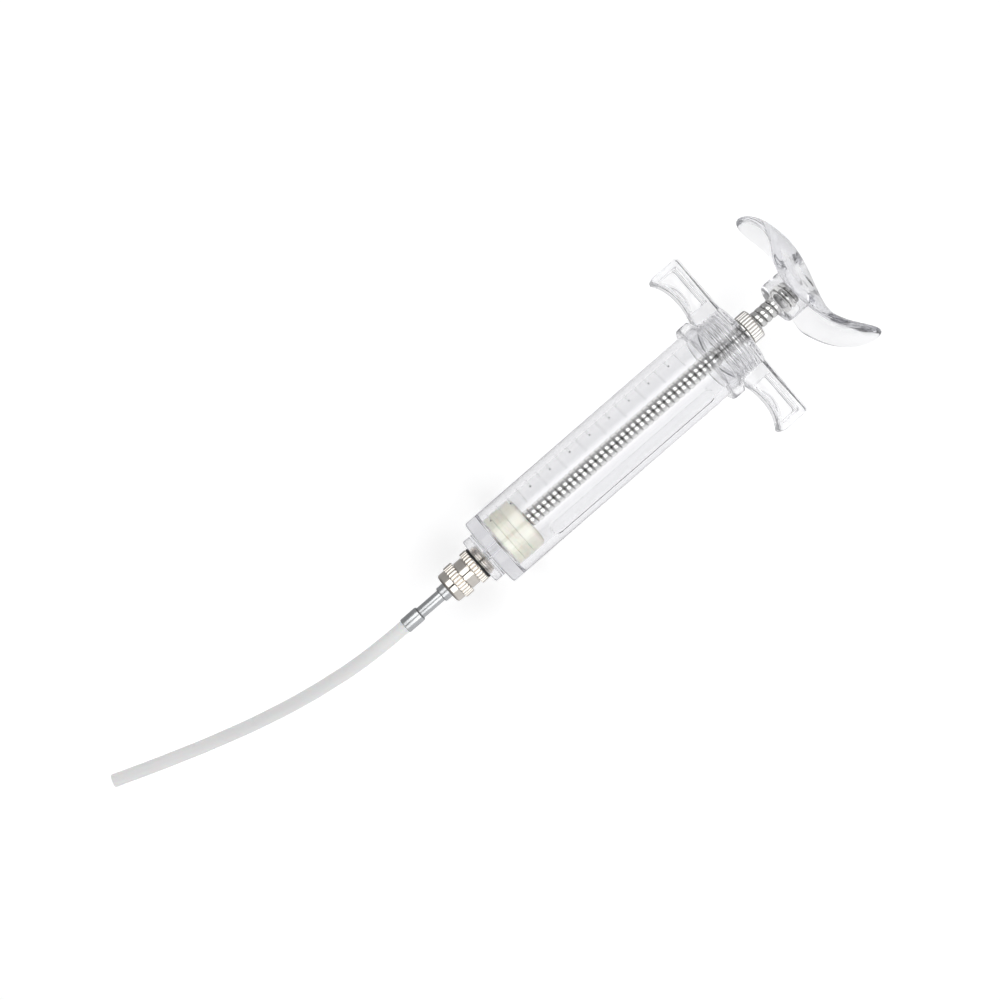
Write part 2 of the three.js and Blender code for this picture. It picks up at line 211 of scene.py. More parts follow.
def joined(name, parts):
    """Several mesh objects as one."""
    work = bmesh.new()
    for part in parts:
        work.from_mesh(part.data)
        bpy.data.objects.remove(part)
    mesh = bpy.data.meshes.new(name)
    work.to_mesh(mesh)
    work.free()
    obj = bpy.data.objects.new(name, mesh)
    bpy.context.scene.collection.objects.link(obj)
    return obj


def combine(obj, tool, operation):
    """Joins a tool to obj, or cuts it away, and removes the tool."""
    modifier = obj.modifiers.new("combine", "BOOLEAN")
    modifier.operation = operation
    modifier.solver = "EXACT"
    modifier.object = tool
    bpy.context.view_layer.update()
    depsgraph = bpy.context.evaluated_depsgraph_get()
    result = bpy.data.meshes.new_from_object(obj.evaluated_get(depsgraph))
    obj.modifiers.clear()
    obj.data = result
    bpy.data.objects.remove(tool)
    return obj


# ---------- shapes that change a turned radius ----------

def knurl(low, high, radius, teeth, depth):
    """Straight knurling between two stations: rounded teeth with sharp valleys between them."""
    def shape(x, r, angle):
        if not low - 1e-6 <= x <= high + 1e-6 or r <= radius - 1.5 * depth:
            return np.full(len(angle), r)
        aside = 2 * np.abs(np.mod(teeth * angle / TAU, 1.0) - 0.5)
        tooth = np.sqrt(1 - TOOTH_FULLNESS * aside ** 2)
        drop = (1 - tooth) / (1 - math.sqrt(1 - TOOTH_FULLNESS))
        return np.minimum(r, radius - depth * drop)
    return shape


def hexagon(low, high, corner_r):
    """Six slightly crowned flats between two stations."""
    flat_r = corner_r * math.cos(math.pi / 6)
    def shape(x, r, angle):
        if not low - 1e-6 <= x <= high + 1e-6 or r < flat_r - 0.3:
            return np.full(len(angle), r)
        off_flat = np.mod(angle + math.pi / 6, math.pi / 3) - math.pi / 6
        flat = flat_r / np.cos(off_flat)
        crowned = flat + HEX_CROWN * (corner_r - flat)
        return np.minimum(r, np.minimum(crowned, corner_r - HEX_CORNER_CUT))
    return shape


def both(first, second):
    return lambda x, r, angle: np.minimum(first(x, r, angle), second(x, r, angle))


def thread(low, high, base, height, pitch, crest, flatness=2.6, starts=1):
    """A rounded right-hand thread on a base radius, or rings if it has no starts.

    crest is the share of the pitch that the ridge takes.
    """
    def shape(x, r, angle):
        if abs(r - base) > 1e-3 or not low <= x <= high:
            return np.full(len(angle), r)
        turn = np.mod(x / pitch - starts * angle / TAU, 1.0)
        fade = min(1.0, (x - low) / pitch + 0.02, (high - x) / pitch + 0.02)
        aside = np.abs(turn - 0.5) / (crest / 2)
        return r + height * fade * np.sqrt(np.clip(1 - aside ** flatness, 0, 1))
    return shape


# ---------- materials ----------

def material(slot, **values):
    """A Principled material whose even values sit on the shader itself."""
    made = bpy.data.materials.new("look_" + slot)
    made.use_nodes = True
    shader = made.node_tree.nodes["Principled BSDF"]
    for key, value in values.items():
        socket = shader.inputs[key.replace("_", " ").title().replace("Ior", "IOR")]
        socket.default_value = value
    return made


def noise(made, scale, detail=3.0, stretch=(1, 1, 1)):
    """A noise texture over the object's own coordinates, scale in features per metre."""
    nodes = made.node_tree.nodes
    links = made.node_tree.links
    place_node = nodes.new("ShaderNodeTexCoord")
    mapping = nodes.new("ShaderNodeMapping")
    mapping.inputs["Scale"].default_value = stretch
    texture = nodes.new("ShaderNodeTexNoise")
    texture.inputs["Scale"].default_value = scale
    texture.inputs["Detail"].default_value = detail
    links.new(place_node.outputs["Object"], mapping.inputs["Vector"])
    links.new(mapping.outputs["Vector"], texture.inputs["Vector"])
    return texture.outputs["Fac"]


def vary(made, socket, source, low, high):
    """Drives one number of the shader from a texture, between two values."""
    spread = made.node_tree.nodes.new("ShaderNodeMapRange")
    spread.inputs["From Min"].default_value = 0.3
    spread.inputs["From Max"].default_value = 0.7
    spread.inputs["To Min"].default_value = low
    spread.inputs["To Max"].default_value = high
    made.node_tree.links.new(source, spread.inputs["Value"])
    shader = made.node_tree.nodes["Principled BSDF"]
    made.node_tree.links.new(spread.outputs["Result"], shader.inputs[socket])


def tint(made, source, first, second):
    """Drives the base colour from a texture, between two colours."""
    ramp = made.node_tree.nodes.new("ShaderNodeValToRGB")
    ramp.color_ramp.elements[0].position = 0.35
    ramp.color_ramp.elements[0].color = (*first, 1)
    ramp.color_ramp.elements[1].position = 0.65
    ramp.color_ramp.elements[1].color = (*second, 1)
    made.node_tree.links.new(source, ramp.inputs["Fac"])
    shader = made.node_tree.nodes["Principled BSDF"]
    made.node_tree.links.new(ramp.outputs["Color"], shader.inputs["Base Color"])


def bump(made, source, strength, height_mm):
    node = made.node_tree.nodes.new("ShaderNodeBump")
    node.inputs["Strength"].default_value = strength
    node.inputs["Distance"].default_value = height_mm * MM
    made.node_tree.links.new(source, node.inputs["Height"])
    shader = made.node_tree.nodes["Principled BSDF"]
    made.node_tree.links.new(node.outputs["Normal"], shader.inputs["Normal"])


def clear_plastic(shade, absorbed):
    """Polished polycarbonate that greys with thickness, with the faint flow waves of a moulding."""
    made = material("clear_plastic", ior=1.5, transmission_weight=1.0)
    light = shade + 0.02
    tint(made, noise(made, 60), (shade, shade, shade + 0.005), (light, light, light + 0.005))
    vary(made, "Roughness", noise(made, 300), 0.0, 0.02)
    bump(made, noise(made, 90, 2.0, (0.4, 1, 1)), 0.05, 0.1)
    nodes = made.node_tree.nodes
    depth = nodes.new("ShaderNodeVolumeAbsorption")
    depth.inputs["Color"].default_value = (0.89, 0.89, 0.9, 1)
    depth.inputs["Density"].default_value = absorbed
    made.node_tree.links.new(depth.outputs["Volume"], nodes["Material Output"].inputs["Volume"])
    return made


def cream_plastic():
    made = material("cream_plastic", ior=1.5, subsurface_weight=0.25, subsurface_scale=0.002)
    tint(made, noise(made, 400), (0.885, 0.865, 0.755), (0.925, 0.905, 0.80))
    vary(made, "Roughness", noise(made, 2500), 0.32, 0.5)
    bump(made, noise(made, 3500), 0.15, 0.03)
    return made


def cream_silicone():
    made = material("cream_silicone", ior=1.42, subsurface_weight=0.3, subsurface_scale=0.002)
    tint(made, noise(made, 500), (0.82, 0.79, 0.68), (0.86, 0.83, 0.72))
    vary(made, "Roughness", noise(made, 1500), 0.5, 0.7)
    bump(made, noise(made, 2500), 0.1, 0.03)
    return made


def metal(name, first, second, rough, turned):
    """A plated or turned metal. turned is how much finer its marks are along the axis."""
    made = material(name, metallic=1.0)
    tint(made, noise(made, 350), first, second)
    vary(made, "Roughness", noise(made, 500, 4.0, (turned, 1, 1)), rough[0], rough[1])
    bump(made, noise(made, 900, 3.0, (turned, 1, 1)), 0.12, 0.01)
    return made


def paint_groove_shade(made, low, high, darkest):
    """Paints shade into the base colour towards a thread's root, between two distances from the axis,
    for the shade that falls in the grooves.
    """
    nodes = made.node_tree.nodes
    links = made.node_tree.links
    where = nodes.new("ShaderNodeTexCoord")
    mapping = nodes.new("ShaderNodeMapping")
    mapping.inputs["Location"].default_value = (0, 0, -AXIS_Z)
    mapping.inputs["Scale"].default_value = (0, 1, 1)
    distance = nodes.new("ShaderNodeVectorMath")
    distance.operation = "LENGTH"
    spread = nodes.new("ShaderNodeMapRange")
    spread.inputs["From Min"].default_value = low * MM
    spread.inputs["From Max"].default_value = high * MM
    spread.inputs["To Min"].default_value = darkest
    spread.inputs["To Max"].default_value = 1
    shaded = nodes.new("ShaderNodeVectorMath")
    shaded.operation = "SCALE"
    colour = nodes["Principled BSDF"].inputs["Base Color"]
    links.new(where.outputs["Object"], mapping.inputs["Vector"])
    links.new(mapping.outputs["Vector"], distance.inputs[0])
    links.new(distance.outputs["Value"], spread.inputs["Value"])
    links.new(colour.links[0].from_socket, shaded.inputs[0])
    links.new(spread.outputs["Result"], shaded.inputs["Scale"])
    links.new(shaded.outputs["Vector"], colour)


def black_rubber():
    made = material("black_rubber", ior=1.5)
    tint(made, noise(made, 800), (0.012, 0.012, 0.014), (0.03, 0.03, 0.032))
    vary(made, "Roughness", noise(made, 2500), 0.5, 0.75)
    bump(made, noise(made, 5000), 0.25, 0.03)
    return made


def tube_silicone():
    """A milky tube wall. It scatters light and lets none straight through."""
    made = material("tube_silicone", ior=1.41, subsurface_weight=0.15, subsurface_scale=0.002)
    tint(made, noise(made, 120), (0.975, 0.975, 0.975), (0.99, 0.99, 0.985))
    vary(made, "Roughness", noise(made, 300), 0.26, 0.36)
    return made


LOOKS = {
    "clear_plastic": clear_plastic(0.925, 140),
    "cream_plastic": cream_plastic(),
    "cream_silicone": cream_silicone(),
    "chromed_steel": metal("chromed_steel", (0.76, 0.755, 0.74), (0.82, 0.815, 0.80), (0.04, 0.09), 4),
    "nickel_plate": metal("nickel_plate", (0.72, 0.68, 0.625), (0.78, 0.735, 0.68), (0.08, 0.16), 3),
    "stainless_steel": metal("stainless_steel", (0.54, 0.55, 0.56), (0.61, 0.62, 0.63), (0.2, 0.34), 8),
    "black_rubber": black_rubber(),
    "tube_silicone": tube_silicone(),
}
# The cap and handle are clearer than the barrel, and the nut is less warm than the nose fittings.
GRIP_PLASTIC = clear_plastic(0.93, 60)
NUT_METAL = metal("nickel_plate", (0.70, 0.685, 0.665), (0.76, 0.745, 0.725), (0.08, 0.16), 3)


def piece(obj, slot, body, node, look=None):
    """Gives a piece its material and its body, and hides the CAD node that it stands for."""
    obj.data.materials.clear()
    obj.data.materials.append(look or LOOKS[slot])
    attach(obj, body)
    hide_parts(node)
    if slot in ("clear_plastic", "tube_silicone"):
        obj.visible_shadow = False


# ---------- camera ----------

# The camera looks straight down, with the syringe's axis rising to the right.
AXIS_SLOPE = math.radians(41)
VIEW_HEIGHT = 530.5
VIEW_WIDTH = 304.9
VIEW_X = 13.1
VIEW_Y = 10.1

camera_data = bpy.data.cameras.new("camera")
camera_data.sensor_width = 36
camera_data.lens = camera_data.sensor_width * VIEW_HEIGHT / VIEW_WIDTH
camera = bpy.data.objects.new("camera", camera_data)
bpy.context.scene.collection.objects.link(camera)
camera.location = place([[VIEW_X, VIEW_Y, VIEW_HEIGHT]])[0]
camera.rotation_euler = (0, 0, -AXIS_SLOPE)
bpy.context.scene.camera = camera


# ---------- soft tube ----------

# The tube's centre line, as in the CAD source: station, side and height above the axis.
TUBE_ROUTE = [
    (-33.8, 0.0, 0.0), (-38.0, 0.05, 0.0), (-42.5, 0.15, 0.0), (-47.0, 0.35, -0.2),
    (-52.0, 0.7, -0.9), (-57.0, 1.2, -1.9), (-62.0, 1.9, -3.2), (-67.5, 2.7, -4.8),
    (-73.0, 3.7, -6.6), (-79.0, 4.9, -8.7), (-85.0, 6.3, -10.7), (-91.0, 7.8, -12.4),
    (-97.0, 9.5, -13.9), (-103.0, 11.3, -15.1), (-109.0, 13.2, -15.7), (-115.0, 15.3, -15.88),
    (-121.0, 17.4, -15.9), (-127.0, 19.6, -15.9), (-132.0, 21.5, -15.9), (-136.3, 23.1, -15.9),
]
TUBE_R = 2.15
TUBE_HOLE_R = 1.3


def smooth_line(points, per_span=6):
    """A Catmull-Rom line through the points."""
    points = np.asarray(points, float)
    padded = np.vstack([2 * points[0] - points[1], points, 2 * points[-1] - points[-2]])
    line = []
    for i in range(len(points) - 1):
        p0, p1, p2, p3 = padded[i:i + 4]
        for s in np.arange(per_span) / per_span:
            bend = 2 * p0 - 5 * p1 + 4 * p2 - p3
            twist = 3 * (p1 - p2) + p3 - p0
            line.append(0.5 * (2 * p1 + (p2 - p0) * s + bend * s ** 2 + twist * s ** 3))
    line.append(points[-1])
    return np.array(line)


def tube_between(name, line, outer, inner, segments=32):
    """A hollow tube along a line, its wall closed at both cut ends."""
    ways = np.gradient(line, axis=0)
    ways /= np.linalg.norm(ways, axis=1)[:, None]
    up = np.array([0.0, 0.0, 1.0])
    side = np.cross(ways, up)
    side /= np.linalg.norm(side, axis=1)[:, None]
    top = np.cross(side, ways)
    angles = np.arange(segments) * TAU / segments
    chamfer = 0.12
    points = []

    def ring(i, radius, along):
        centre = line[i] + ways[i] * along
        for a in angles:
            points.append(centre + radius * (math.cos(a) * side[i] + math.sin(a) * top[i]))

    last = len(line) - 1
    ring(0, outer - chamfer, 0)
    ring(0, outer, chamfer)
    for i in range(1, last):
        ring(i, outer, 0)
    ring(last, outer, -chamfer)
    ring(last, outer - chamfer, 0)
    ring(last, inner, 0)
    for i in range(last - 1, 0, -1):
        ring(i, inner, 0)
    ring(0, inner, 0)
    rings = len(points) // segments
    faces = []
    for i in range(rings):
        for j in range(segments):
            k = (j + 1) % segments
            a = i * segments
            b = (i + 1) % rings * segments
            faces.append((a + j, a + k, b + k, b + j))
    return mesh_object(name, points, faces)


tube_line = smooth_line(TUBE_ROUTE)
drench_tube = tube_between("soft_tube", tube_line, TUBE_R, TUBE_HOLE_R)
piece(drench_tube, "tube_silicone", "barrel", "drench_tube")


# ---------- barrel ----------

STROKE_PER_ML = 3.918
ZERO_X = 3.0
MARK_HEIGHT = 0.3
MARK_HALF = 0.3
LONG_MARK = (math.radians(34), math.radians(69))
SHORT_MARK = (math.radians(34), math.radians(52))
PANEL_X = (18.6, 83.0)
PANEL_MIDDLE = math.radians(131)
PANEL_HALF = 2.8
PANEL_SHARE = 0.5
BARREL_PITCH = 1.5
THREADED_R = 9.8
THREAD_HEIGHT = 0.42
THREAD_CREST = 0.6
THREAD_MARGIN = 0.3
# The plain outside, between the rounded front and the shoulder.
PLAIN_X = (2.0, 86.5)
# The angles that hold the scale and the panel, which need closer points.
MARKED_ANGLES = [(math.radians(33), math.radians(72)), (math.radians(115), math.radians(147))]


def raised(distance, half=MARK_HALF):
    """A rounded ridge's height at a distance from its middle line."""
    return MARK_HEIGHT * np.sqrt(np.clip(1 - (distance / half) ** 4, 0, 1))


def scale_and_panel(x, r, angle):
    """The moulded scale and the empty panel outline on the barrel's outside."""
    height = np.zeros(len(angle))
    nearest = round((x - ZERO_X) / STROKE_PER_ML)
    if 1 <= nearest <= 20:
        start, end = SHORT_MARK if nearest % 2 else LONG_MARK
        inside = np.clip(np.minimum(angle - start, end - angle) / math.radians(1), 0, 1)
        height = raised(abs(x - ZERO_X - nearest * STROKE_PER_ML)) * inside
    along = x - sum(PANEL_X) / 2
    straight = (PANEL_X[1] - PANEL_X[0]) / 2 - PANEL_HALF
    across = (angle - PANEL_MIDDLE) * BARREL_R
    outline = np.abs(np.hypot(max(abs(along) - straight, 0), across) - PANEL_HALF)
    return r + np.maximum(height, PANEL_SHARE * raised(outline))


# The cap's screw thread, drawn as plain rings, because crossing helices read as a cross-hatch.
barrel_threads = thread(
    SHOULDER_X + THREAD_MARGIN,
    BARREL_END_X - THREAD_MARGIN,
    THREADED_R,
    THREAD_HEIGHT,
    BARREL_PITCH,
    THREAD_CREST,
    flatness=2.0,
    starts=0,
)


def barrel_shape(x, r, angle):
    if abs(r - BARREL_R) < 1e-3 and 1.5 < x < 86:
        return scale_and_panel(x, r, angle)
    return barrel_threads(x, r, angle)


def barrel_stations():
    """Stations along the plain outside: close together at the marks and the panel's ends."""
    stations = [PLAIN_X[0], 84.5, PLAIN_X[1]]
    ridge = (-1.1, -1, -0.93, -0.8, -0.5, 0, 0.5, 0.8, 0.93, 1, 1.1)
    for ml in range(1, 21):
        middle = ZERO_X + ml * STROKE_PER_ML
        stations += [middle + s * MARK_HALF for s in ridge]
    for end in PANEL_X:
        stations += [end + s * 0.25 for s in range(-14, 15)]
    return sorted(set(round(s, 3) for s in stations if PLAIN_X[0] <= s <= PLAIN_X[1]))


def barrel_angles():
    """Angles round the barrel, close together where the marks and the panel are."""
    fine = math.radians(0.6)
    coarse = math.radians(2)
    angles = []
    angle = 0.0
    while angle < TAU - coarse / 2:
        angles.append(angle)
        busy = any(start <= angle <= end for start, end in MARKED_ANGLES)
        angle += fine if busy else coarse
    return np.array(angles)


barrel_front = rounded([
    (-NECK, 5.3, 0.2), (-NECK, 7.85, 0.5), (0, 7.85, 0.6), (0, BARREL_R, 0.8),
    (PLAIN_X[0], BARREL_R),
])
barrel_back = rounded([
    (PLAIN_X[1], BARREL_R), (SHOULDER_X, BARREL_R, 0.5), (SHOULDER_X, THREADED_R),
    (BARREL_END_X, THREADED_R, 0.3), (BARREL_END_X, BORE_R, 0.4), (4.0, BORE_R, 1.2),
    (4.0, 1.1, 0.2), (-1.2, 1.1, 0.2), (-1.2, 5.3, 0.3), (-NECK, 5.3),
])
barrel_middle = [np.array([x, BARREL_R]) for x in barrel_stations()]
barrel_profile = barrel_front[:-1] + barrel_middle[:-1] + barrel_back
barrel_profile = [np.array(p) for p in barrel_profile]
barrel_profile = refined(barrel_profile, SHOULDER_X, BARREL_END_X, 0.12)
barrel_profile[-1] = barrel_profile[0]
barrel = lathe("clear_barrel", barrel_profile, shape=barrel_shape, angles=barrel_angles())
piece(barrel, "clear_plastic", "barrel", "barrel")


# ---------- cap with finger wings ----------

WING_TIP_Y = 30.6
WING_TIP_X = 91.0
WING_ROOT_X = 91.6
WING_CURVE_X = 96.3
WING_HALF_DEPTH = 5.2
WING_RIM = 1.9
WING_WEB_HALF = 1.0
COLLAR_R = 13.7
COLLAR_X = 86.9


def curve_between(a, b, c, steps):
    """A quadratic curve's points, without its last one."""
    a, b, c = (np.array(p, float) for p in (a, b, c))
    return [(1 - s) ** 2 * a + 2 * s * (1 - s) * b + s ** 2 * c for s in np.arange(steps) / steps]


def wing_outline(side, rim, root_y, corner):
    """One wing's outline, inset all round by a rim."""
    tip_y = WING_TIP_Y - rim
    rear = CAP_REAR_X - rim
    front = WING_TIP_X + rim
    middle_y = (COLLAR_R + tip_y) / 2
    points = curve_between((rear, tip_y - corner), (rear, tip_y), (rear - corner, tip_y), 6)
    points += curve_between((front + corner, tip_y), (front, tip_y), (front, tip_y - corner), 6)
    points += curve_between((front, tip_y - corner), (WING_CURVE_X + rim, middle_y),
                            (WING_ROOT_X + rim, root_y), 18)
    points += curve_between((WING_ROOT_X + rim, root_y), (rear, root_y), (rear, root_y), 1)
    points += curve_between((rear, root_y), (rear, tip_y - corner), (rear, tip_y - corner), 1)
    return np.array([(x, side * y) for x, y in points])


cap_outside = lathe("cap_grip_clear", rounded([
    (COLLAR_X, 0), (COLLAR_X, COLLAR_R, 1.1), (COLLAR_X + 4.6, COLLAR_R, 0.5),
    (COLLAR_X + 4.6, 11.6, 0.5), (CAP_REAR_X, 11.6, 0.7), (CAP_REAR_X, 6.4, 0.3),
    (102.1, 6.0, 0.5), (102.1, 0),
]), 128)

CAP_CAVITY_R = 10.45
CAP_CAVITY_END_X = 99.7
CAP_THREAD_DEPTH = 0.45
CAP_THREAD_CREST = 0.5
cavity_profile = refined([np.array(p) for p in rounded([
    (COLLAR_X - 1, 0), (COLLAR_X - 1, 11.95), (SHOULDER_X + 0.3, 11.95, 0.3),
    (SHOULDER_X + 0.3, CAP_CAVITY_R), (CAP_CAVITY_END_X, CAP_CAVITY_R, 0.3),
    (CAP_CAVITY_END_X, 3.3), (103.5, 3.3), (103.5, 0),
])], SHOULDER_X + 0.3, CAP_CAVITY_END_X, 0.12)
cap_threads = thread(
    91.8,
    99.3,
    CAP_CAVITY_R,
    CAP_THREAD_DEPTH,
    BARREL_PITCH,
    CAP_THREAD_CREST,
    flatness=2.0,
    starts=0,
)
cap_cavity = lathe("cavity", cavity_profile, 128, cap_threads)

wings = []
cutters = [cap_cavity]
for side in (1, -1):
    whole = wing_outline(side, 0, 9.0, 1.4)
    wings.append(slab("wing", whole, -WING_HALF_DEPTH, WING_HALF_DEPTH, 0.7))
    pocket = wing_outline(side, WING_RIM, 14.2, 0.8)
    high = WING_HALF_DEPTH + 2
    cutters.append(slab("pocket", pocket, WING_WEB_HALF, high, 0.5))
    cutters.append(slab("pocket", pocket, -high, -WING_WEB_HALF, 0.5))
cap_grip = combine(cap_outside, joined("wings", wings), "UNION")
cap_grip = combine(cap_grip, joined("cutters", cutters), "DIFFERENCE")
tidy_mesh(cap_grip, 34)
piece(cap_grip, "clear_plastic", "barrel", "cap_grip", GRIP_PLASTIC)


# ---------- plunger rod ----------

ROD_THREAD = 0.5
ROD_ROOT = ROD_R - ROD_THREAD
ROD_THREAD_X = 12.7
ROD_THREAD_END_X = 121.7
GROOVE_SHADE = 0.28
rod_profile = refined([np.array(p) for p in rounded([
    (7.3, 0), (7.3, 2.4, 0.3), (12.6, 2.4), (ROD_THREAD_X, ROD_ROOT),
    (ROD_THREAD_END_X, ROD_ROOT), (122.0, 2.0), (122.0, 0),
])], ROD_THREAD_X, ROD_THREAD_END_X, ROD_PITCH / 18)
rod_thread = thread(
    ROD_THREAD_X,
    ROD_THREAD_END_X,
    ROD_ROOT,
    ROD_THREAD,
    ROD_PITCH,
    crest=0.92,
    flatness=4.0,
)
rod = lathe("threaded_rod", rod_profile, 56, rod_thread, sharp=80)
# Painted shade: the chrome's base colour darkens towards the rod's thread roots.
paint_groove_shade(LOOKS["chromed_steel"], ROD_ROOT + 0.05, ROD_ROOT + 0.35, GROOVE_SHADE)
piece(rod, "chromed_steel", "rod", "plunger_rod")


# ---------- piston ----------

piston_front = lathe("piston_nose", rounded([
    (4.9, 0), (4.9, 8.7, 0.6), (7.3, 8.7, 0.3), (7.3, 4.0), (12.0, 4.0, 0.3), (12.0, 2.7),
    (7.0, 2.7), (7.0, 0),
]))
piece(piston_front, "cream_plastic", "piston", "piston_front")

piston_seal = lathe("piston_ring", rounded([
    (7.32, 4.3), (7.32, 8.82, 0.3), (8.4, 8.82, 0.3), (9.1, 8.5, 0.5), (9.8, 8.82, 0.3),
    (10.88, 8.82, 0.3), (10.88, 4.3), (7.32, 4.3),
]))
piece(piston_seal, "cream_silicone", "piston", "piston_seal")

piston_rear = lathe("piston_back", rounded([
    (10.9, 4.3), (10.9, 8.7, 0.3), (15.2, 8.7, 1.6), (15.2, 3.25, 0.2), (12.3, 3.25),
    (12.3, 4.3), (10.9, 4.3),
]))
piece(piston_rear, "cream_plastic", "piston", "piston_rear")


# ---------- dose nut and washer ----------

WASHER_X = 102.4
NUT_X = 103.2
NUT_END_X = 107.1
NUT_R = 5.05
NUT_TEETH = 26
NUT_KNURL_DEPTH = 0.55

washer = lathe("dose_washer_plated", rounded([
    (WASHER_X, 3.25), (WASHER_X, NUT_R, 0.15), (WASHER_X + 0.6, NUT_R, 0.15),
    (WASHER_X + 0.6, 3.25), (WASHER_X, 3.25),
]))
piece(washer, "nickel_plate", "washer", "dose_washer", NUT_METAL)

nut_profile = refined([np.array(p) for p in rounded([
    (NUT_X, 3.25, 0.1), (NUT_X, NUT_R, 0.25), (NUT_END_X, NUT_R, 0.7), (NUT_END_X, 3.25, 0.3),
    (NUT_X, 3.25),
])], NUT_X, NUT_END_X, 0.5)
nut_teeth = knurl(NUT_X, NUT_END_X, NUT_R, NUT_TEETH, NUT_KNURL_DEPTH)
nut = lathe("dose_nut_knurled", nut_profile, 12 * NUT_TEETH, nut_teeth)
piece(nut, "nickel_plate", "nut", "dose_nut", NUT_METAL)


# ---------- handle ----------

PALM_X = 128.3
PALM_THICK = 2.8
PALM_HALF_LENGTH = 29.6
PALM_MIDDLE_R = 17.8
PALM_TIP_R = 9.1
PALM_ODD_SLOPE = 10.7
PALM_ODD_CURL = 14.8
PALM_EVEN_SLOPE = 5.9
PALM_EVEN_CURL = 6.5
PALM_SIDE_DROP = 6.1
PALM_TIP_FLATNESS = 4.9
# The unit length of the S, as in the CAD source. The unit across it is half as long.
PALM_LENGTH_UNIT = 30.5
# The rim starts at this share of the outline and takes this much more of it.
PALM_RIM_START = 0.9
PALM_RIM_SHARE = 0.096
HUB_R = 6.9
HUB_X = 115.0


def palm_outline(count):
    """The plate's outline: a middle disc and two tip discs inside one taut band."""
    reach = PALM_HALF_LENGTH - PALM_TIP_R
    tilt = math.pi / 2 - math.asin((PALM_MIDDLE_R - PALM_TIP_R) / reach)
    arcs = [
        (reach, PALM_TIP_R, -tilt, tilt),
        (0, PALM_MIDDLE_R, tilt, math.pi - tilt),
        (-reach, PALM_TIP_R, math.pi - tilt, math.pi + tilt),
        (0, PALM_MIDDLE_R, math.pi + tilt, TAU - tilt),
    ]
    corners = []
    for centre, radius, start, end in arcs:
        for a in np.linspace(start, end, 60):
            corners.append((centre + radius * math.cos(a), radius * math.sin(a)))
    corners.append(corners[0])
    corners = np.array(corners)
    lengths = np.concatenate([[0], np.cumsum(np.linalg.norm(np.diff(corners, axis=0), axis=1))])
    spaced = np.arange(count) * lengths[-1] / count
    return np.stack([np.interp(spaced, lengths, corners[:, k]) for k in (0, 1)], 1)


def palm_station(y, z):
    """Station of the plate's middle surface: an S along y, falling away at both sides."""
    n = -y / PALM_LENGTH_UNIT
    m = z / (PALM_LENGTH_UNIT / 2)
    odd = PALM_ODD_CURL * n ** 3 - PALM_ODD_SLOPE * n
    even = PALM_EVEN_CURL * n ** 4 - PALM_EVEN_SLOPE * n ** 2
    drop = PALM_SIDE_DROP * m ** 2 - PALM_TIP_FLATNESS * (n * m) ** 2
    return PALM_X + odd + even - drop


def palm_plate(name, count=144):
    """The palm plate, its rim rounded right over."""
    outline = palm_outline(count)
    shares = list(np.linspace(0.08, PALM_RIM_START, 13))
    for turn in np.linspace(0.2, math.pi / 2, 8):
        shares.append(PALM_RIM_START + PALM_RIM_SHARE * math.sin(turn))
    points = []
    rows = []

    def add_row(share, side):
        out = max(0.0, (share - PALM_RIM_START) / PALM_RIM_SHARE)
        thick = side * PALM_THICK / 2 * math.sqrt(max(0.0, 1 - out ** 2))
        rows.append(list(range(len(points), len(points) + count)))
        for y, z in outline * share:
            points.append((palm_station(y, z) + thick, y, z))

    points.append((PALM_X - PALM_THICK / 2, 0, 0))
    points.append((PALM_X + PALM_THICK / 2, 0, 0))
    for share in shares:
        add_row(share, -1)
    for share in shares[-2::-1]:
        add_row(share, 1)
    faces = []
    for j in range(count):
        k = (j + 1) % count
        faces.append((0, rows[0][j], rows[0][k]))
        faces.append((1, rows[-1][k], rows[-1][j]))
        for a, b in zip(rows[:-1], rows[1:]):
            faces.append((a[j], b[j], b[k], a[k]))
    return mesh_object(name, points, faces, 60)


def handle_hub(name, segments=96):
    """The hub, flared where it meets the plate, its top lying inside the plate."""
    profile = rounded([(HUB_X, 0), (HUB_X, HUB_R, 1.9), (122.5, HUB_R), (126.0, HUB_R + 0.9)], 7)
    points = [(HUB_X, 0, 0)]
    rows = []
    angles = np.arange(segments) * TAU / segments
    for x, r in profile[1:]:
        rows.append(list(range(len(points), len(points) + segments)))
        points.extend((x, r * math.cos(a), r * math.sin(a)) for a in angles)
    for share in (1.0, 0.75, 0.5, 0.25):
        rows.append(list(range(len(points), len(points) + segments)))
        for a in angles:
            y = share * (HUB_R + 1.3) * math.cos(a)
            z = share * (HUB_R + 1.3) * math.sin(a)
            points.append((palm_station(y, z), y, z))
    points.append((palm_station(0, 0), 0, 0))
    faces = []
    for j in range(segments):
        k = (j + 1) % segments
        faces.append((0, rows[0][k], rows[0][j]))
        faces.append((len(points) - 1, rows[-1][j], rows[-1][k]))
        for a, b in zip(rows[:-1], rows[1:]):
            faces.append((a[j], a[k], b[k], b[j]))
    return mesh_object(name, points, faces)


def turn_about_axis(obj, angle):
    """Turns a mesh's own points about the syringe's axis."""
    c, s = math.cos(angle), math.sin(angle)
    for vertex in obj.data.vertices:
        y = vertex.co.y
        z = vertex.co.z - AXIS_Z
        vertex.co.y = y * c - z * s
        vertex.co.z = y * s + z * c + AXIS_Z


handle = palm_plate("palm_handle")
handle = combine(handle, handle_hub("hub"), "UNION")
tidy_mesh(handle, 40)
turn_about_axis(handle, HANDLE_TURN)
piece(handle, "clear_plastic", "rod", "handle", GRIP_PLASTIC)


# ---------- metal nose fittings ----------

gasket = lathe("nose_washer_black", rounded([
    (-4.9, 5.05), (-4.9, 5.5, 0.15), (-4.2, 5.5, 0.15), (-4.2, 5.05), (-4.9, 5.05),
]))
piece(gasket, "black_rubber", "barrel", "nose_gasket")

